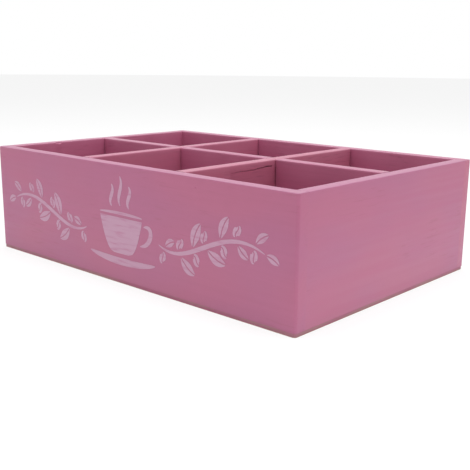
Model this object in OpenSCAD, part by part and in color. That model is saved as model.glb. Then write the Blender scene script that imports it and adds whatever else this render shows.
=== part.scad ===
// Open wooden organizer box for a coffee station, with crossed dividers that make six compartments.
// Millimetres. Origin at the middle of the footprint, on the surface that the box stands on.
// +X runs along the length, the front faces -Y, +Z is up.

/* [Box] */
// Outer length, left to right
box_length = 300; // [240:1:400]
// Outer width, front to back
box_width = 200; // [180:1:280]
// Height of the four walls above the bottom panel
wall_height = 79; // [60:0.5:120]
// Thickness of the wall boards
wall_thickness = 9; // [7:0.5:12]
// Radius of the sanded vertical corners
corner_radius = 2; // [1:0.5:4]

/* [Bottom] */
// Thickness of the plywood bottom panel
bottom_thickness = 2.5; // [2:0.5:5]
// How far the bottom panel's edge stands in from the walls' outer faces
bottom_inset = 0.3; // [0.1:0.1:1]

/* [Dividers] */
// Thickness of the divider boards
divider_thickness = 9; // [6:0.5:12]
// Depth of the front compartments, from the front wall to the long divider
front_depth = 88; // [70:1:110]
// Glue gap between a divider's end and the wall
end_gap = 0.3; // [0.2:0.1:1]
// Play on each side of a board in a cross-lap slot
slot_play = 0.4; // [0.2:0.1:0.8]
// How far the dividers' top edges stay below the rim
divider_drop = 0; // [0:0.1:3]

/* [Edges] */
// Radius of the eased arrises
arris = 0.6; // [0.3:0.1:1]

/* [Brads] */
// Shank diameter of the brads
brad_diameter = 1.2; // [1:0.1:1.6]
// Length of the brads in the corners and in the dividers' ends
wall_brad_length = 25; // [20:1:30]
// Length of the brads that hold the bottom panel
bottom_brad_length = 16; // [12:1:20]
// Brads in each corner
corner_brads = 3; // [2:1:4]
// Brads in each end of a divider
end_brads = 2; // [2:1:3]
// Brads along the front edge and along the back edge of the bottom panel
long_edge_brads = 4; // [3:1:6]
// Brads along each side edge of the bottom panel
short_edge_brads = 3; // [2:1:4]

/* [Hidden] */
$fn = 48;

rim_z = bottom_thickness + wall_height;
inner_length = box_length - 2 * wall_thickness;
inner_width = box_width - 2 * wall_thickness;
// Middles of the wall boards
wall_x = (box_length - wall_thickness) / 2;
wall_y = (box_width - wall_thickness) / 2;

divider_height = wall_height - divider_drop;
long_divider_y = -inner_width / 2 + front_depth + divider_thickness / 2;
compartment_length = (inner_length - 2 * divider_thickness) / 3;
cross_divider_x = (compartment_length + divider_thickness) / 2;
slot_width = divider_thickness + 2 * slot_play;
// The two slots of a cross lap overlap in height by the lap play, so that both boards reach the bottom.
lap_play = 1;
long_slot_floor = (divider_height - lap_play) / 2;
cross_slot_roof = (divider_height + lap_play) / 2;

brad_head_diameter = 2;
brad_head_thickness = 0.8;
brad_point = 1.5;
hole_play = 0.02;
// Heads in the walls are sunk this deep, and the wood over them is filled level with the face.
sunk_head_depth = 1;
// Heads in the bottom panel show on its underside.
open_head_depth = 0.1;
corner_brad_margin = 12;
end_brad_margin = 18;
bottom_brad_margin = 40;

pink_paint = [0.80, 0.50, 0.61];
bare_ply = [0.62, 0.45, 0.40];
steel = [0.72, 0.72, 0.74];

function spread(count, low, high) = [for (i = [0 : count - 1]) low + (high - low) * i / (count - 1)];

// Rectangle from the origin to size, with four rounded corners.
module rounded_rectangle(size, radius) {
    translate([radius, 0]) square([size.x - 2 * radius, size.y]);
    translate([0, radius]) square([size.x, size.y - 2 * radius]);
    for (x = [radius, size.x - radius], y = [radius, size.y - radius]) translate([x, y]) circle(radius);
}

// Plan of the front wall: its two outer corners are rounded.
module long_wall_plan() {
    translate([corner_radius, 0]) square([box_length - 2 * corner_radius, wall_thickness]);
    translate([0, corner_radius]) square([box_length, wall_thickness - corner_radius]);
    for (x = [corner_radius, box_length - corner_radius]) translate([x, corner_radius]) circle(corner_radius);
}

// Upright profile of a wall board of the given length: square at the bottom, eased at the top.
module wall_profile(length) {
    square([length, wall_height - arris]);
    translate([arris, 0]) square([length - 2 * arris, wall_height]);
    for (x = [arris, length - arris]) translate([x, wall_height - arris]) circle(arris);
}

// One brad along +Z, with its head's outer face at z = 0. Play makes it the hole for a brad.
module brad(length, play = 0) {
    shank = brad_diameter / 2 + play;
    translate([0, 0, -play]) cylinder(r = brad_head_diameter / 2 + play, h = brad_head_thickness + 2 * play);
    cylinder(r = shank, h = length - brad_point);
    translate([0, 0, length - brad_point]) cylinder(r1 = shank, r2 = shank / 4, h = brad_point + play);
}

// Brads of one corner. Side is -1 at the left and 1 at the right, face is -1 at the front and 1 at the back.
module corner_row(side, face, play = 0) {
    for (z = spread(corner_brads, bottom_thickness + corner_brad_margin, rim_z - corner_brad_margin))
        translate([side * wall_x, face * (box_width / 2 - sunk_head_depth), z])
            rotate([face * 90, 0, 0]) brad(wall_brad_length, play);
}

// Brads through the front wall or the back wall into the cross dividers.
module cross_end_row(face, play = 0) {
    for (side = [-1, 1])
        for (z = spread(end_brads, bottom_thickness + end_brad_margin, rim_z - end_brad_margin))
            translate([side * cross_divider_x, face * (box_width / 2 - sunk_head_depth), z])
                rotate([face * 90, 0, 0]) brad(wall_brad_length, play);
}

// Brads through the left wall or the right wall into the long divider.
module long_end_row(side, play = 0) {
    for (z = spread(end_brads, bottom_thickness + end_brad_margin, rim_z - end_brad_margin))
        translate([side * (box_length / 2 - sunk_head_depth), long_divider_y, z])
            rotate([0, -side * 90, 0]) brad(wall_brad_length, play);
}

// Places for the brads up through the bottom panel into the front wall or the back wall.
module along_long_edge(face) {
    reach = box_length / 2 - bottom_brad_margin;
    for (x = spread(long_edge_brads, -reach, reach)) translate([x, face * wall_y, open_head_depth]) children();
}

// Places for the brads up through the bottom panel into the left wall or the right wall.
module along_short_edge(side) {
    reach = box_width / 2 - bottom_brad_margin;
    for (y = spread(short_edge_brads, -reach, reach)) translate([side * wall_x, y, open_head_depth]) children();
}

// Hole for a bottom brad, open at the underside.
module bottom_hole() {
    brad(bottom_brad_length, hole_play);
    translate([0, 0, -2 * open_head_depth]) cylinder(d = brad_head_diameter + 2 * hole_play, h = brad_head_thickness);
}

// Front wall, which covers the ends of both side walls. Its outer face looks along -Y.
module long_wall() {
    difference() {
        translate([-box_length / 2, -box_width / 2, bottom_thickness]) intersection() {
            linear_extrude(wall_height) long_wall_plan();
            translate([0, wall_thickness, 0]) rotate([90, 0, 0])
                linear_extrude(wall_thickness) wall_profile(box_length);
            rotate([90, 0, 90]) linear_extrude(box_length) wall_profile(wall_thickness);
        }
        for (side = [-1, 1]) corner_row(side, -1, hole_play);
        cross_end_row(-1, hole_play);
        along_long_edge(-1) bottom_hole();
    }
}

module front_panel() {
    color(pink_paint) long_wall();
}

module back_panel() {
    color(pink_paint) rotate([0, 0, 180]) long_wall();
}

// Side wall between the front and back walls, at the left for side -1 and at the right for side 1.
module side_wall(side) {
    color(pink_paint) difference() {
        translate([side * wall_x - wall_thickness / 2, inner_width / 2, bottom_thickness]) rotate([90, 0, 0])
            linear_extrude(inner_width) wall_profile(wall_thickness);
        for (face = [-1, 1]) corner_row(side, face, hole_play);
        long_end_row(side, hole_play);
        along_short_edge(side) bottom_hole();
    }
}

module left_side() {
    side_wall(-1);
}

module right_side() {
    side_wall(1);
}

// Plywood sheet nailed up against the walls' lower edges.
module bottom_panel() {
    panel = [box_length - 2 * bottom_inset, box_width - 2 * bottom_inset];
    color(bare_ply) difference() {
        translate(-panel / 2) linear_extrude(bottom_thickness) rounded_rectangle(panel, corner_radius);
        for (end = [-1, 1]) {
            along_long_edge(end) bottom_hole();
            along_short_edge(end) bottom_hole();
        }
    }
}

// Divider board of the given length along X, centred on X and Y and standing on z = 0.
module divider_board(length) {
    translate([-length / 2, -divider_thickness / 2, 0]) intersection() {
        linear_extrude(divider_height) rounded_rectangle([length, divider_thickness], arris);
        rotate([90, 0, 90]) linear_extrude(length) rounded_rectangle([divider_thickness, divider_height], arris);
    }
}

// Long divider, with a slot open at the top for each cross divider.
module long_divider() {
    color(pink_paint) difference() {
        translate([0, long_divider_y, bottom_thickness]) difference() {
            divider_board(inner_length - 2 * end_gap);
            for (side = [-1, 1])
                translate([side * cross_divider_x - slot_width / 2, -divider_thickness, long_slot_floor])
                    cube([slot_width, 2 * divider_thickness, divider_height]);
        }
        for (side = [-1, 1]) long_end_row(side, hole_play);
    }
}

// Cross divider, with a slot open at the bottom that drops over the long divider.
module cross_divider(side) {
    color(pink_paint) difference() {
        translate([side * cross_divider_x, 0, bottom_thickness]) difference() {
            rotate([0, 0, 90]) divider_board(inner_width - 2 * end_gap);
            translate([-divider_thickness, long_divider_y - slot_width / 2, -divider_height])
                cube([2 * divider_thickness, slot_width, divider_height + cross_slot_roof]);
        }
        for (face = [-1, 1]) cross_end_row(face, hole_play);
    }
}

module cross_divider_left() {
    cross_divider(-1);
}

module cross_divider_right() {
    cross_divider(1);
}

module corner_brads_front_left() {
    color(steel) corner_row(-1, -1);
}

module corner_brads_front_right() {
    color(steel) corner_row(1, -1);
}

module corner_brads_back_left() {
    color(steel) corner_row(-1, 1);
}

module corner_brads_back_right() {
    color(steel) corner_row(1, 1);
}

module divider_brads_front() {
    color(steel) cross_end_row(-1);
}

module divider_brads_back() {
    color(steel) cross_end_row(1);
}

module divider_brads_left() {
    color(steel) long_end_row(-1);
}

module divider_brads_right() {
    color(steel) long_end_row(1);
}

module bottom_brads_front() {
    color(steel) along_long_edge(-1) brad(bottom_brad_length);
}

module bottom_brads_back() {
    color(steel) along_long_edge(1) brad(bottom_brad_length);
}

module bottom_brads_left() {
    color(steel) along_short_edge(-1) brad(bottom_brad_length);
}

module bottom_brads_right() {
    color(steel) along_short_edge(1) brad(bottom_brad_length);
}

front_panel();
back_panel();
left_side();
right_side();
bottom_panel();
long_divider();
cross_divider_left();
cross_divider_right();
corner_brads_front_left();
corner_brads_front_right();
corner_brads_back_left();
corner_brads_back_right();
divider_brads_front();
divider_brads_back();
divider_brads_left();
divider_brads_right();
bottom_brads_front();
bottom_brads_back();
bottom_brads_left();
bottom_brads_right();
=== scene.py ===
# Scene of a pink wooden organizer box with six compartments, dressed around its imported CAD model.
# Lengths are in metres. +X runs along the box, the front faces -Y and +Z is up.
import math

import bmesh
import bpy
from mathutils import Matrix, Vector, geometry


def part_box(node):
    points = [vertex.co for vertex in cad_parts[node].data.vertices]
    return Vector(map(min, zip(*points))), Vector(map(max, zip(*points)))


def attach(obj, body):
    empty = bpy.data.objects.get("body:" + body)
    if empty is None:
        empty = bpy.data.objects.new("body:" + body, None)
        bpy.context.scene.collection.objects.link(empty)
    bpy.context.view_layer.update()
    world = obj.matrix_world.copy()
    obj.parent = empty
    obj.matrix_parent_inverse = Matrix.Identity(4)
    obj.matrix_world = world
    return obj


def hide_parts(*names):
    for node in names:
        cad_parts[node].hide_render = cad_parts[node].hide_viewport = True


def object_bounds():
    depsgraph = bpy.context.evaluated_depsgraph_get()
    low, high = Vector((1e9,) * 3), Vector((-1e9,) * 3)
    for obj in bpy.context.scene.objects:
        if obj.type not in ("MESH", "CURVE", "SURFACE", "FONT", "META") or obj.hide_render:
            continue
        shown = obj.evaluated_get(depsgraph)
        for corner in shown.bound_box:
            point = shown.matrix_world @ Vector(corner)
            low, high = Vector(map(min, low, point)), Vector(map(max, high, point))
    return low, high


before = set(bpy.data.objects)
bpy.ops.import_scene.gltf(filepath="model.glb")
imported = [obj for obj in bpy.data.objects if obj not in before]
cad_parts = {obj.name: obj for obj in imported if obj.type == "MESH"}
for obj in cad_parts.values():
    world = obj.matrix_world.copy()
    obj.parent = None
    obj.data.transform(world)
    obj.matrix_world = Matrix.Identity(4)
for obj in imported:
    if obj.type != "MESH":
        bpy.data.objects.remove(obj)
cad_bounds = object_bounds()

MM = 0.001
X, Y, Z = 0, 1, 2
RIM_Z = cad_bounds[1].z
INNER_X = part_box("right_side")[0].x
INNER_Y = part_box("back_panel")[0].y

# Camera, fitted to the box's edges in the photograph
CAMERA_AZIMUTH = 42.57
CAMERA_ELEVATION = 13.22
CAMERA_ROLL = 0.525
CAMERA_DISTANCE = 575.8 * MM
CAMERA_TARGET = Vector((12.45, 0, 19.54)) * MM
CAMERA_LENS = 57.91

# Paint and wood colours, as Blender's linear red, green and blue
PINK_WARM = (0.360, 0.0960, 0.178)
PINK_COOL = (0.338, 0.0960, 0.188)
# Brighter, redder pink of the inner faces: painted light, bounced between the pink walls
PINK_INSIDE_BOUNCE = (0.412, 0.1040, 0.207)
# Paler, greyer pink of the top faces: painted sheen from the light above
PINK_RIM_SHEEN = (0.347, 0.1260, 0.216)
PINK_THIN = (0.300, 0.0800, 0.145)
PINK_THICK = (0.450, 0.1500, 0.250)
# Redder tone mixed into the boards seen from inside: painted light, bounced between the pink walls
BOUNCE_RED = (0.520, 0.1600, 0.150)
LILAC = (0.415, 0.230, 0.325)
LILAC_WORN = (0.385, 0.165, 0.262)
PLY_EDGE = (0.285, 0.135, 0.150)
PLY_FACE = (0.55, 0.38, 0.24)
PLY_DARK = (0.40, 0.25, 0.14)
STEEL = (0.55, 0.55, 0.57)
STEEL_DULL = (0.36, 0.36, 0.37)

# Studio light: a white room and soft square lamps, each with its name, place, aim, size, watts and colour
WORLD_STRENGTH = 0.70
WHITE = (1, 1, 1)
FLOOR_PAPER = (0.9, 0.9, 0.9)
FLOOR_RADIUS = 6
FLOOR_GLOW = 0.75
LAMPS = (
    ("top", (0, 0, 1300), (0, 0, 0), 1200, 16.5, WHITE),
    ("top_right", (800, 100, 1100), (0, 0, 40), 800, 3.0, WHITE),
    ("front", (-250, -1300, 300), (0, 0, 40), 800, 0.4, WHITE),
    ("table", (0, 0, 0.5), (0, 0, 100), 700, 0.3, WHITE),
    ("table_right", (330, 60, 0.5), (330, 60, 100), 360, 0.06, WHITE),
)

# Shape of the boards
CORNER_RADIUS = 2 * MM
CORNER_SEGMENTS = 6
ARRIS = 0.6 * MM
ARRIS_SEGMENTS = 3
ARRIS_WOBBLE = 0.2 * MM
ARRIS_WOBBLE_LENGTH = 18 * MM
ARRIS_MARGIN = 1.4 * MM
STATION_STEP = 4 * MM

RIM_ZONE = 1.2 * MM

# Sawn slots of the cross laps. The right one's right side was sawn too wide.
SLOT_PLAY = 0.4 * MM
WIDE_SLOT_PLAY = 0.9 * MM
SLOT_WAVE = 0.5 * MM
SLOT_WAVE_LENGTH = 14 * MM
LAP_PLAY = 1 * MM

# Drying crack in the right face of the right cross divider: its open end, its closed end and its width
CRACK_OPEN = Vector((0, -6, 77.2)) * MM
CRACK_CLOSED = Vector((0, -49, 76.0)) * MM
CRACK_WIDTH = 0.75 * MM
CRACK_DEPTH = 2.5 * MM

# Nick in the inner arris of the left wall, and small knot in the front wall's face
NICK_PLACE = Vector((-141, -50, 81.7)) * MM
NICK_SIZE = Vector((1.3, 3.2, 1.9)) * MM
KNOT_PLACE = Vector((72, -100, 75)) * MM
KNOT_SIZE = Vector((0.8, 0.35, 0.7)) * MM

# Brad heads in the underside
HEAD_RADIUS = 1.0 * MM
POCKET_RADIUS = 1.15 * MM
POCKET_DEPTH = 0.4 * MM
LONG_EDGE_BRADS = 4
SHORT_EDGE_BRADS = 3

# Design brushed on the front wall in lilac: its film's thickness, and sizes of the strokes, in millimetres
FILM = 0.1 * MM
STROKE_POINTS = 24
VEIN_GAP = 0.8
STEM = ((38, 34), (66, 20), (92, 60), (127, 44))
STEM_WIDTH = 2.4
TWIG_PLACES = (0.04, 0.22, 0.36, 0.49, 0.63, 0.77, 0.91)
LEAF_LENGTHS = (9.5, 15, 17, 16, 15, 10.5, 11)
LEAF_WIDTHS = (4.6, 6.6, 7.0, 6.6, 6.2, 4.8, 4.6)
LEAF_ANGLE = 46
BEAN_SIZE = (7.0, 5.0)
BEAN_ANGLE = 68
BEAN_OFFSET = 6.4
LEAF_OFFSET = 3.4
LEAF_BEND = 0.10
TIP_LEAF_OFFSET = 1.5
TIP_LEAF_LENGTH = 10
TIP_LEAF_WIDTH = 4.6
CUP_AXIS = ((0, 21), (0, 29), (0, 38), (0, 46))
CUP_RADIUS = 22
CUP_FOOT_SHARE = 0.34

# Gap between growth rings of 4 mm, as the scale of a wave pattern
RING_SCALE = 0.314 / (4 * MM)


def deselect():
    if bpy.context.object and bpy.context.object.mode != "OBJECT":
        bpy.ops.object.mode_set(mode="OBJECT")
    bpy.ops.object.select_all(action="DESELECT")


def pick(piece):
    deselect()
    piece.select_set(True)
    bpy.context.view_layer.objects.active = piece


def new_block(name, low, high):
    """A box between two corners, with its place in its mesh."""
    deselect()
    low, high = Vector(low), Vector(high)
    bpy.ops.mesh.primitive_cube_add(size=1, location=(low + high) / 2, scale=high - low)
    block = bpy.context.object
    block.name = name
    bpy.ops.object.transform_apply(location=True, rotation=True, scale=True)
    return block


def slice_block(block, axis, places):
    """Cuts rings of vertices into the block, square to the axis, at each place."""
    normal = Vector((axis == X, axis == Y, axis == Z))
    pick(block)
    bpy.ops.object.mode_set(mode="EDIT")
    for place in places:
        bpy.ops.mesh.select_all(action="SELECT")
        bpy.ops.mesh.bisect(plane_co=normal * place, plane_no=normal)
    bpy.ops.object.mode_set(mode="OBJECT")


def bevel_edges(block, wanted, radius, segments):
    """Rounds the edges whose middle and direction pass the test."""
    pick(block)
    bpy.ops.object.mode_set(mode="EDIT")
    bpy.ops.mesh.select_mode(type="EDGE")
    bpy.ops.mesh.select_all(action="DESELECT")
    mesh = bmesh.from_edit_mesh(block.data)
    for edge in mesh.edges:
        start, end = (vert.co for vert in edge.verts)
        edge.select_set(wanted((start + end) / 2, (end - start).normalized()))
    bmesh.update_edit_mesh(block.data)
    bpy.ops.mesh.bevel(offset=radius, segments=segments, affect="EDGES", clamp_overlap=False)
    bpy.ops.object.mode_set(mode="OBJECT")


def near(a, b, slack=0.01 * MM):
    return abs(a - b) < slack


def between(low, high, step):
    """Evenly spaced places between low and high, about a step apart."""
    count = max(2, round((high - low) / step))
    return [low + (high - low) * i / count for i in range(1, count)]


def cut_away(piece, cutter):
    """Takes the cutter's space out of the piece, and deletes the cutter."""
    pick(piece)
    modifier = piece.modifiers.new("cut", "BOOLEAN")
    modifier.operation = "DIFFERENCE"
    modifier.solver = "EXACT"
    modifier.object = cutter
    bpy.ops.object.modifier_apply(modifier=modifier.name)
    bpy.data.objects.remove(cutter)


def wobble_arrises(board, wanted, size):
    """Sands the arrises unevenly: the vertices that pass the test go inward by up to the given size."""
    group = board.vertex_groups.new(name="arrises")
    group.add([vert.index for vert in board.data.vertices if wanted(vert.co)], 1.0, "REPLACE")
    texture = bpy.data.textures.new(board.name + "_sanding", "CLOUDS")
    texture.noise_scale = ARRIS_WOBBLE_LENGTH
    pick(board)
    modifier = board.modifiers.new("sanding", "DISPLACE")
    modifier.texture = texture
    modifier.texture_coords = "GLOBAL"
    modifier.vertex_group = group.name
    modifier.mid_level = 1
    modifier.strength = size
    bpy.ops.object.modifier_apply(modifier=modifier.name)
    board.vertex_groups.clear()


def long_wall(name, node, film=0.0):
    """Front or back wall. Its outer corners are rounded, and its inner arris stops at the side walls.
    Film is the room that its face leaves for the design brushed on it."""
    low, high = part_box(node)
    low.y += film
    outer_y, inner_y = (low.y, high.y) if low.y < 0 else (high.y, low.y)
    wall = new_block(name, low, high)
    slice_block(wall, X, [-INNER_X, INNER_X])
    bevel_edges(wall, lambda mid, way: abs(way.z) > 0.9 and near(mid.y, outer_y) and near(abs(mid.x), high.x),
                CORNER_RADIUS, CORNER_SEGMENTS)
    bevel_edges(wall, lambda mid, way: near(mid.z, high.z)
                and (abs(mid.x) < INNER_X - MM or not near(mid.y, inner_y))
                and (abs(way.y) < 0.99 or near(abs(mid.x), high.x)), ARRIS, ARRIS_SEGMENTS)
    slice_block(wall, Z, [high.z - ARRIS_MARGIN])
    slice_block(wall, X, between(-INNER_X, INNER_X, STATION_STEP))
    return wall


def side_wall(name, node):
    """Left or right wall, between the front and the back wall."""
    low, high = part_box(node)
    wall = new_block(name, low, high)
    bevel_edges(wall, lambda mid, way: near(mid.z, high.z) and abs(way.y) > 0.9, ARRIS, ARRIS_SEGMENTS)
    slice_block(wall, Z, [high.z - ARRIS_MARGIN])
    slice_block(wall, Y, between(low.y, high.y, STATION_STEP))
    return wall


def divider(name, node, grain):
    """Board of a divider, before its slots are sawn."""
    low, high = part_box(node)
    board = new_block(name, low, high)
    ends = (low[grain], high[grain])
    bevel_edges(board, lambda mid, way: (near(mid.z, high.z) and abs(way[grain]) > 0.9)
                or (abs(way.z) > 0.9), ARRIS, ARRIS_SEGMENTS)
    slice_block(board, Z, [high.z - ARRIS_MARGIN])
    slice_block(board, grain, between(*ends, STATION_STEP))
    return board


def saw_slot(board, low, high):
    """Saws the space between two corners out of a divider, with slightly wavy sides."""
    blade = new_block("blade", low, high)
    slice_block(blade, Z, between(low.z, high.z, STATION_STEP))
    texture = bpy.data.textures.new(board.name + "_saw", "CLOUDS")
    texture.noise_scale = SLOT_WAVE_LENGTH
    modifier = blade.modifiers.new("wander", "DISPLACE")
    modifier.texture = texture
    modifier.texture_coords = "GLOBAL"
    modifier.mid_level = 0.5
    modifier.strength = SLOT_WAVE
    pick(blade)
    bpy.ops.object.modifier_apply(modifier=modifier.name)
    cut_away(board, blade)


def saw_top_slot(board, crossing, left_play, right_play):
    """Slot in the long divider, open at the top, for the cross divider in the crossing box."""
    low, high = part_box("long_divider")
    middle = (low.z + high.z - LAP_PLAY) / 2
    saw_slot(board, Vector((crossing[0].x - left_play, low.y - MM, middle)),
             Vector((crossing[1].x + right_play, high.y + MM, high.z + MM)))


def saw_bottom_slot(board, crossing):
    """Slot in a cross divider, open at the bottom, that drops over the long divider."""
    low_x = min(vert.co.x for vert in board.data.vertices)
    high_x = max(vert.co.x for vert in board.data.vertices)
    low, high = crossing
    middle = (low.z + high.z + LAP_PLAY) / 2
    saw_slot(board, Vector((low_x - MM, low.y - SLOT_PLAY, low.z - MM)),
             Vector((high_x + MM, high.y + SLOT_PLAY, middle)))


def bottom_sheet(name, node):
    """Plywood sheet with a pocket in its underside for each brad head."""
    low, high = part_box(node)
    sheet = new_block(name, low, high)
    bevel_edges(sheet, lambda mid, way: abs(way.z) > 0.9, CORNER_RADIUS, CORNER_SEGMENTS)
    rows = [("bottom_brads_" + edge, X, LONG_EDGE_BRADS) for edge in ("front", "back")]
    rows += [("bottom_brads_" + edge, Y, SHORT_EDGE_BRADS) for edge in ("left", "right")]
    for brads, axis, count in rows:
        first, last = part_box(brads)
        for i in range(count):
            place = (first + last) / 2
            start, end = first[axis] + HEAD_RADIUS, last[axis] - HEAD_RADIUS
            place[axis] = start + (end - start) * i / (count - 1)
            place.z = 0
            deselect()
            bpy.ops.mesh.primitive_cylinder_add(vertices=24, radius=POCKET_RADIUS, depth=2 * POCKET_DEPTH,
                                                location=place)
            cut_away(sheet, bpy.context.object)
    return sheet


def cut_crack(board):
    """Opens a drying crack in the board's right face, wide at its open end and closing to a hairline."""
    face_x = max(vert.co.x for vert in board.data.vertices)
    low = Vector((face_x - CRACK_DEPTH, CRACK_CLOSED.y, -CRACK_WIDTH / 2))
    high = Vector((face_x + CRACK_DEPTH, CRACK_OPEN.y, CRACK_WIDTH / 2))
    blade = new_block("crack", low, high)
    slice_block(blade, Y, between(low.y, high.y, 2 * MM))
    for vert in blade.data.vertices:
        along = (vert.co.y - low.y) / (high.y - low.y)
        wander = 0.25 * MM * math.sin(9 * along) + 0.15 * MM * math.sin(31 * along)
        vert.co.z = vert.co.z * (0.15 + 0.85 * along) + CRACK_CLOSED.lerp(CRACK_OPEN, along).z + wander
    cut_away(board, blade)


def cut_hollow(board, place, size):
    """Takes a small, uneven hollow out of the board."""
    deselect()
    bpy.ops.mesh.primitive_ico_sphere_add(subdivisions=3, radius=1, location=place, scale=size)
    hollow = bpy.context.object
    bpy.ops.object.transform_apply(location=True, rotation=True, scale=True)
    texture = bpy.data.textures.new("hollow", "CLOUDS")
    texture.noise_scale = 1.5 * MM
    modifier = hollow.modifiers.new("rough", "DISPLACE")
    modifier.texture = texture
    modifier.texture_coords = "GLOBAL"
    modifier.strength = 0.4 * size.x
    bpy.ops.object.modifier_apply(modifier=modifier.name)
    cut_away(board, hollow)


def ribbon(guide, low, high):
    """Outline between two offsets from a curve. The guide is the curve's start, two pulls and end, and the
    offsets are functions of the place along it, from 0 to 1."""
    start, pull_a, pull_b, end = (Vector(point) for point in guide)
    points = geometry.interpolate_bezier(start, pull_a, pull_b, end, STROKE_POINTS)
    sides = ([], [])
    for i, point in enumerate(points):
        way = points[min(i + 1, len(points) - 1)] - points[max(i - 1, 0)]
        across = Vector((-way.y, way.x)).normalized()
        along = i / (len(points) - 1)
        for side, offset in zip(sides, (low(along), high(along))):
            side.append(point + across * offset)
    return sides[0] + sides[1][::-1]


def swell(width, power=1.0):
    """Half the width of a brush mark that is pointed at both ends."""
    return lambda along: width / 2 * max(0.0, math.sin(math.pi * along)) ** power


def stroke(guide, width, power=0.6):
    half = swell(width, power)
    return [ribbon(guide, lambda along: -half(along) - 0.25, lambda along: half(along) + 0.25)]


def split_mark(guide, width, power):
    """A leaf or a bean: two halves with a bare line between them."""
    half = swell(width, power)
    gap = VEIN_GAP / 2
    return [ribbon(guide, lambda along: gap, lambda along: gap + half(along)),
            ribbon(guide, lambda along: -gap, lambda along: -gap - half(along))]


def point_on(guide, along):
    """Point and direction of a curve at a place along it."""
    points = geometry.interpolate_bezier(*(Vector(point) for point in guide), 101)
    i = round(along * 100)
    return points[i], (points[min(i + 1, 100)] - points[max(i - 1, 0)]).normalized()


def turned(way, degrees):
    return Matrix.Rotation(math.radians(degrees), 2) @ way


def leaf(root, way, length, width, bend):
    """A leaf that starts at its root and bends sideways by a share of its length."""
    side = turned(way, 90) * length * bend
    guide = (root, root + way * length * 0.35 + side, root + way * length * 0.7 + side, root + way * length)
    return split_mark(guide, width, 0.85)


def bean(middle, way, size):
    """A coffee bean with an S-shaped bare line."""
    length, width = size
    pull = way * length * 0.3
    side = turned(way, 90) * width * 0.45
    start, end = middle - way * length / 2, middle + way * length / 2
    return split_mark((start, start + pull + side, end - pull - side, end), width, 0.5)


def sprig():
    """Branch right of the cup, on which leaves and coffee beans take turns on either side."""
    marks = stroke(STEM, STEM_WIDTH)
    side = 1
    for along, length, width in zip(TWIG_PLACES, LEAF_LENGTHS, LEAF_WIDTHS):
        point, way = point_on(STEM, along)
        to_leaf = turned(way, side * LEAF_ANGLE)
        to_bean = turned(way, -side * BEAN_ANGLE)
        marks += leaf(point + to_leaf * LEAF_OFFSET, to_leaf, length, width, side * LEAF_BEND)
        marks += bean(point + to_bean * BEAN_OFFSET, to_bean, BEAN_SIZE)
        side = -side
    tip, way = point_on(STEM, 1)
    marks += leaf(tip + way * TIP_LEAF_OFFSET, way, TIP_LEAF_LENGTH, TIP_LEAF_WIDTH, LEAF_BEND)
    return marks


def cup():
    """Cup on a saucer with three wisps of steam, in the middle of the front."""
    def half_width(along):
        return CUP_RADIUS * (CUP_FOOT_SHARE + (1 - CUP_FOOT_SHARE) * along ** 0.45)

    marks = [ribbon(CUP_AXIS, lambda along: -half_width(along), half_width)]
    marks += stroke(((-22, 48.2), (-10, 49.2), (10, 49.2), (22, 48.2)), 1.6)
    marks += stroke(((-34, 18.5), (-16, 14.5), (16, 14.5), (34, 18.5)), 4.6)
    marks += stroke(((23.5, 43), (35, 46), (31, 30), (19.5, 29.5)), 3.2)
    for x, low, high in ((-9, 53, 68), (0, 54, 74), (9, 53, 68)):
        rise = (high - low) / 3
        marks += stroke(((x, low), (x - 5, low + rise), (x + 5, low + 2 * rise), (x, high)), 2.6)
    return marks


def brushed_design(name, face_y, material):
    """Thin lilac film on the front wall's face: cup, and a sprig on either side."""
    curve = bpy.data.curves.new(name, "CURVE")
    curve.dimensions = "2D"
    curve.fill_mode = "BOTH"
    curve.extrude = 0.75 * FILM
    right = sprig()
    left = [[Vector((-point.x, point.y)) for point in outline] for outline in right]
    for outline in cup() + right + left:
        spline = curve.splines.new("POLY")
        spline.points.add(len(outline) - 1)
        for place, point in zip(spline.points, outline):
            place.co = (point.x * MM, point.y * MM, 0, 1)
        spline.use_cyclic_u = True
    film = bpy.data.objects.new(name, curve)
    bpy.context.scene.collection.objects.link(film)
    pick(film)
    bpy.ops.object.convert(target="MESH")
    film = bpy.context.object
    film.rotation_euler = (math.radians(90), 0, 0)
    film.location = (0, face_y + 0.25 * FILM - FILM / 2, 0)
    bpy.ops.object.transform_apply(location=True, rotation=True, scale=True)
    bpy.ops.object.mode_set(mode="EDIT")
    bpy.ops.mesh.select_all(action="SELECT")
    bpy.ops.mesh.remove_doubles(threshold=0.005 * MM)
    bpy.ops.mesh.normals_make_consistent(inside=False)
    bpy.ops.object.mode_set(mode="OBJECT")
    film.data.materials.clear()
    film.data.materials.append(material)
    return film


def join_film(board, film):
    """Unites the film with the board, so that both are one closed mesh with two paints."""
    pick(board)
    modifier = board.modifiers.new("film", "BOOLEAN")
    modifier.operation = "UNION"
    modifier.solver = "EXACT"
    modifier.use_self = True
    modifier.material_mode = "TRANSFER"
    modifier.object = film
    bpy.ops.object.modifier_apply(modifier=modifier.name)
    bpy.data.objects.remove(film)


def finish_board(board, node):
    pick(board)
    bpy.ops.object.shade_smooth_by_angle(angle=math.radians(35))
    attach(board, "root")
    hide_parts(node)


def new_camera():
    turn = (Matrix.Rotation(math.radians(CAMERA_AZIMUTH), 4, "Z")
            @ Matrix.Rotation(math.radians(90 - CAMERA_ELEVATION), 4, "X"))
    back = turn.to_3x3() @ Vector((0, 0, 1))
    camera = bpy.data.objects.new("camera", bpy.data.cameras.new("camera"))
    camera.data.lens = CAMERA_LENS
    camera.data.clip_start = 10 * MM
    camera.matrix_world = (Matrix.Translation(CAMERA_TARGET + back * CAMERA_DISTANCE)
                           @ turn @ Matrix.Rotation(math.radians(CAMERA_ROLL), 4, "Z"))
    bpy.context.scene.collection.objects.link(camera)
    bpy.context.scene.camera = camera


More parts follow.
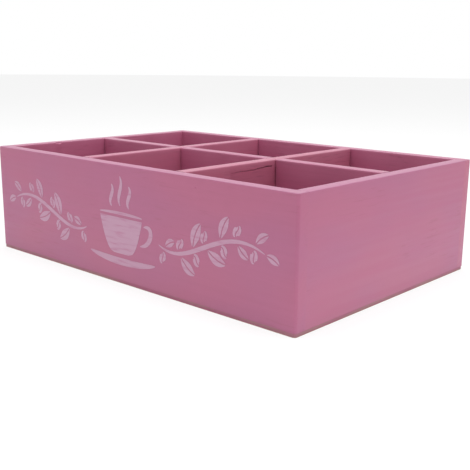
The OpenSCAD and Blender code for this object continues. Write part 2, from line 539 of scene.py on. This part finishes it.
def add(tree, kind, inputs=None, **settings):
    """Adds a shader node. An input's value is a number or colour, or the output that is linked to it."""
    node = tree.nodes.new("ShaderNode" + kind)
    for key, value in settings.items():
        setattr(node, key, value)
    for key, value in (inputs or {}).items():
        if isinstance(value, bpy.types.NodeSocket):
            tree.links.new(value, node.inputs[key])
        else:
            node.inputs[key].default_value = value
    return node


def calc(tree, operation, a, b=0.0, clamp=False):
    return add(tree, "Math", {0: a, 1: b}, operation=operation, use_clamp=clamp).outputs[0]


def blend(tree, factor, a, b):
    """Mixes two colours."""
    colours = {0: factor, 6: a if isinstance(a, bpy.types.NodeSocket) else (*a, 1),
               7: b if isinstance(b, bpy.types.NodeSocket) else (*b, 1)}
    return add(tree, "Mix", colours, data_type="RGBA").outputs[2]


def ramp(tree, value, start, end, low=0.0, high=1.0):
    """A smooth rise from low to high, as the value goes from start to end."""
    inputs = {"Value": value, "From Min": start, "From Max": end, "To Min": low, "To Max": high}
    return add(tree, "MapRange", inputs, interpolation_type="SMOOTHSTEP").outputs[0]


def noise(tree, coords, scale, detail=2.0, roughness=0.5, distortion=0.0):
    """Noise from 0 to 1. Scale holds the number of blotches in a metre along each axis."""
    stretched = add(tree, "Mapping", {"Vector": coords, "Scale": scale}).outputs[0]
    inputs = {"Vector": stretched, "Scale": 1.0, "Detail": detail, "Roughness": roughness,
              "Distortion": distortion}
    return add(tree, "TexNoise", inputs).outputs["Fac"]


def new_material(name, roughness):
    material = bpy.data.materials.new(name)
    material.use_nodes = True
    tree = material.node_tree
    shader = tree.nodes["Principled BSDF"]
    shader.inputs["Roughness"].default_value = roughness
    return material, tree, shader


def grain_coords(tree, along, shift):
    """Object coordinates, turned so that the grain runs along X, and shifted to another part of the tree."""
    place = add(tree, "TexCoord").outputs["Object"]
    turn = (0, 0, -math.pi / 2) if along == Y else (0, 0, 0)
    return add(tree, "Mapping", {"Vector": place, "Rotation": turn, "Location": shift}).outputs[0]


def inside_bounce_mask(tree):
    """1 on the inner faces of the walls and on the dividers, 0 on the walls' outer faces. There a brighter,
    redder pink is painted as light bounced between the pink walls.
    """
    place = add(tree, "SeparateXYZ", {0: add(tree, "TexCoord").outputs["Object"]})
    past_side = calc(tree, "SUBTRACT", calc(tree, "ABSOLUTE", place.outputs["X"]), INNER_X)
    past_front = calc(tree, "SUBTRACT", calc(tree, "ABSOLUTE", place.outputs["Y"]), INNER_Y)
    return ramp(tree, calc(tree, "MAXIMUM", past_side, past_front), 0.2 * MM, 1.0 * MM, 1.0, 0.0)


def rim_sheen_mask(tree):
    """1 on the boards' top faces, where a paler, greyer pink is painted as sheen from the light above."""
    height = add(tree, "SeparateXYZ", {0: add(tree, "TexCoord").outputs["Object"]}).outputs["Z"]
    return ramp(tree, height, RIM_Z - 0.8 * MM, RIM_Z - 0.2 * MM)


def painted_wood(name, along, shift, bounce_share=0.0):
    """Pink paint brushed along the grain of a board. The last argument is the share of a redder tone mixed
    in, painted as light bounced between the pink walls.
    """
    material, tree, shader = new_material(name, 0.45)
    coords = grain_coords(tree, along, shift)
    fibres = noise(tree, coords, (45, 900, 900), detail=3)
    strokes = noise(tree, coords, (9, 260, 260), detail=2)
    cloud = noise(tree, coords, (11, 22, 22), detail=1)
    pores = noise(tree, coords, (55, 650, 650), detail=1, distortion=0.3)
    clusters = noise(tree, coords, (14, 32, 32), detail=1)
    drawn_out = add(tree, "Mapping", {"Vector": coords, "Scale": (0.12, 1, 1)}).outputs[0]
    rings = add(tree, "TexWave", {"Vector": drawn_out, "Scale": RING_SCALE, "Distortion": 3.5, "Detail": 1.5,
                                  "Detail Scale": 0.35},
                wave_type="RINGS", rings_direction="X", wave_profile="SAW").outputs["Fac"]

    colour = blend(tree, ramp(tree, cloud, 0.35, 0.65), PINK_WARM, PINK_COOL)
    # Inner faces: a brighter, redder pink, painted as light bounced between the pink walls
    colour = blend(tree, inside_bounce_mask(tree), colour, PINK_INSIDE_BOUNCE)
    # Top faces: a paler, greyer pink, painted as sheen from the light above
    colour = blend(tree, rim_sheen_mask(tree), colour, PINK_RIM_SHEEN)
    # Boards seen from inside get a redder tone: painted bounce light
    if bounce_share:
        colour = blend(tree, bounce_share, colour, BOUNCE_RED)
    colour = blend(tree, ramp(tree, rings, 0.2, 1.0, 0.0, 0.06), colour, PINK_THIN)
    colour = blend(tree, ramp(tree, strokes, 0.40, 0.7, 0.0, 0.10), colour, PINK_THICK)
    colour = blend(tree, ramp(tree, fibres, 0.45, 0.75, 0.0, 0.10), colour, PINK_THIN)
    dashes = calc(tree, "MULTIPLY", ramp(tree, pores, 0.60, 0.68), ramp(tree, clusters, 0.48, 0.62))
    colour = blend(tree, calc(tree, "MULTIPLY", dashes, 0.45), colour, PINK_THIN)
    tree.links.new(colour, shader.inputs["Base Color"])

    tree.links.new(ramp(tree, strokes, 0.3, 0.7, 0.40, 0.52), shader.inputs["Roughness"])
    height = calc(tree, "ADD", calc(tree, "MULTIPLY", fibres, 0.35), calc(tree, "MULTIPLY", strokes, 0.5))
    height = calc(tree, "SUBTRACT", height, calc(tree, "MULTIPLY", dashes, 0.6))
    height = calc(tree, "ADD", height, calc(tree, "MULTIPLY", rings, 0.3))
    bump = add(tree, "Bump", {"Height": height, "Strength": 0.35, "Distance": 0.1 * MM})
    tree.links.new(bump.outputs[0], shader.inputs["Normal"])
    return material


def lilac_paint(name):
    """Thin lilac paint, brushed over the pink, which shows through where the brush ran dry."""
    material, tree, shader = new_material(name, 0.5)
    coords = grain_coords(tree, X, (0.31, 0.02, 0.05))
    streaks = noise(tree, coords, (60, 500, 500), detail=3)
    patches = noise(tree, coords, (70, 90, 90), detail=2)
    worn = calc(tree, "MULTIPLY", ramp(tree, streaks, 0.45, 0.7), ramp(tree, patches, 0.35, 0.65, 0.35, 1.0))
    tree.links.new(blend(tree, worn, LILAC, LILAC_WORN), shader.inputs["Base Color"])
    tree.links.new(ramp(tree, streaks, 0.3, 0.7, 0.42, 0.56), shader.inputs["Roughness"])
    bump = add(tree, "Bump", {"Height": streaks, "Strength": 0.3, "Distance": 0.08 * MM})
    tree.links.new(bump.outputs[0], shader.inputs["Normal"])
    return material


def bare_plywood(name):
    """Raw plywood: bare veneer on the underside, and an edge that the pink paint has soaked into."""
    material, tree, shader = new_material(name, 0.6)
    place = add(tree, "TexCoord").outputs["Object"]
    fibres = noise(tree, place, (30, 700, 700), detail=4, roughness=0.6)
    stain = noise(tree, place, (25, 25, 400), detail=2)
    bands = noise(tree, place, (40, 60, 60), detail=2)
    veneer = blend(tree, ramp(tree, fibres, 0.3, 0.7), PLY_FACE, PLY_DARK)
    edge = blend(tree, ramp(tree, stain, 0.35, 0.65), PLY_EDGE, PINK_THIN)
    height_above_floor = add(tree, "SeparateXYZ", {0: place}).outputs["Z"]
    colour = blend(tree, ramp(tree, height_above_floor, 0.05 * MM, 0.3 * MM), veneer, edge)
    tree.links.new(colour, shader.inputs["Base Color"])
    height = calc(tree, "ADD", fibres, bands)
    bump = add(tree, "Bump", {"Height": height, "Strength": 0.5, "Distance": 0.15 * MM})
    tree.links.new(bump.outputs[0], shader.inputs["Normal"])
    return material


def zinc_steel(name):
    """Galvanized brads, dulled and slightly mottled."""
    material, tree, shader = new_material(name, 0.4)
    place = add(tree, "TexCoord").outputs["Object"]
    mottle = noise(tree, place, (900, 900, 900), detail=3)
    colour = blend(tree, ramp(tree, mottle, 0.35, 0.65), STEEL, STEEL_DULL)
    tree.links.new(colour, shader.inputs["Base Color"])
    tree.links.new(ramp(tree, mottle, 0.3, 0.7, 0.3, 0.5), shader.inputs["Roughness"])
    shader.inputs["Metallic"].default_value = 1
    return material


def seen_share(tree, strength):
    """The strength for rays that show a thing itself, straight, mirrored or through glass. 0 for others."""
    ray = add(tree, "LightPath")
    seen = calc(tree, "ADD", ray.outputs["Is Camera Ray"], ray.outputs["Is Glossy Ray"], clamp=True)
    seen = calc(tree, "ADD", seen, ray.outputs["Is Transmission Ray"], clamp=True)
    return calc(tree, "MULTIPLY", seen, strength)


def new_world(strength):
    """White room of the given light, which shows as plain white."""
    world = bpy.data.worlds.new("studio")
    world.use_nodes = True
    tree = world.node_tree
    shade = tree.nodes["Background"]
    shade.inputs["Color"].default_value = (*WHITE, 1)
    tree.links.new(calc(tree, "ADD", seen_share(tree, 1 - strength), strength), shade.inputs["Strength"])
    bpy.context.scene.world = world


def new_lamp(name, place, aim, size, power, colour):
    """A square soft lamp at a place, turned to face the aim."""
    light = bpy.data.lights.new(name, "AREA")
    light.shape = "SQUARE"
    light.size = size
    light.energy = power
    light.color = colour
    lamp = bpy.data.objects.new(name, light)
    lamp.location = place
    lamp.rotation_euler = (Vector(aim) - Vector(place)).to_track_quat("-Z", "Y").to_euler()
    bpy.context.scene.collection.objects.link(lamp)


def new_floor():
    """Pale paper that shows nearly white and keeps the box's shadow."""
    deselect()
    bpy.ops.mesh.primitive_circle_add(vertices=96, radius=FLOOR_RADIUS, fill_type="NGON")
    floor = bpy.context.object
    floor.name = "floor"
    material, tree, shader = new_material("floor_paper", 1)
    shader.inputs["Base Color"].default_value = (*FLOOR_PAPER, 1)
    glow = add(tree, "Emission", {"Strength": 1.0})
    parts = {0: seen_share(tree, FLOOR_GLOW), 1: shader.outputs[0], 2: glow.outputs[0]}
    mixed = add(tree, "MixShader", parts)
    tree.links.new(mixed.outputs[0], tree.nodes["Material Output"].inputs["Surface"])
    floor.data.materials.append(material)


new_camera()
new_world(WORLD_STRENGTH)
new_floor()
for name, place, aim, size, power, colour in LAMPS:
    new_lamp(name, Vector(place) * MM, Vector(aim) * MM, size * MM, power, colour)

divider_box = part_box("long_divider")

front = long_wall("front_board", "front_panel", FILM)
back = long_wall("back_board", "back_panel")
left = side_wall("left_board", "left_side")
right = side_wall("right_board", "right_side")
long_board = divider("long_divider_board", "long_divider", X)
cross_left = divider("cross_divider_left_board", "cross_divider_left", Y)
cross_right = divider("cross_divider_right_board", "cross_divider_right", Y)
bottom = bottom_sheet("bottom_sheet", "bottom_panel")

for board in (front, back, left, right, long_board, cross_left, cross_right):
    wobble_arrises(board, lambda co: co.z > RIM_Z - RIM_ZONE, ARRIS_WOBBLE)
saw_top_slot(long_board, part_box("cross_divider_left"), SLOT_PLAY, SLOT_PLAY)
saw_top_slot(long_board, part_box("cross_divider_right"), SLOT_PLAY, WIDE_SLOT_PLAY)
for board in (cross_left, cross_right):
    saw_bottom_slot(board, divider_box)
cut_crack(cross_right)
cut_hollow(left, NICK_PLACE, NICK_SIZE)
cut_hollow(front, KNOT_PLACE, KNOT_SIZE)

# Each painted board: its mesh, its CAD node, the way its grain runs, where in the tree it was cut
# and the share of redder tone painted on it as light bounced between the pink walls
PAINTED = (
    (front, "front_panel", X, (0.31, 0.02, 0.05), 0.0),
    (back, "back_panel", X, (1.27, 0.04, -0.04), 0.1),
    (left, "left_side", Y, (2.12, 0.05, 0.03), 0.1),
    (right, "right_side", Y, (3.05, -0.03, 0.06), 0.0),
    (long_board, "long_divider", X, (4.61, 0.03, 0.04), 0.1),
    (cross_left, "cross_divider_left", Y, (5.18, 0.06, 0.02), 0.2),
    (cross_right, "cross_divider_right", Y, (6.44, 0.05, -0.03), 0.25),
)
for board, node, along, shift, bounce_share in PAINTED:
    board.data.materials.clear()
    board.data.materials.append(painted_wood(node + "_paint", along, shift, bounce_share))
bottom.data.materials.clear()
bottom.data.materials.append(bare_plywood("bottom_plywood"))
join_film(front, brushed_design("design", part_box("front_panel")[0].y + FILM, lilac_paint("lilac_paint")))
for board, node, *_ in PAINTED:
    finish_board(board, node)
finish_board(bottom, "bottom_panel")
brad_steel = zinc_steel("brad_steel")
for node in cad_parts.values():
    node.data.materials.clear()
    node.data.materials.append(brad_steel)

bpy.context.scene.view_settings.view_transform = "Standard"
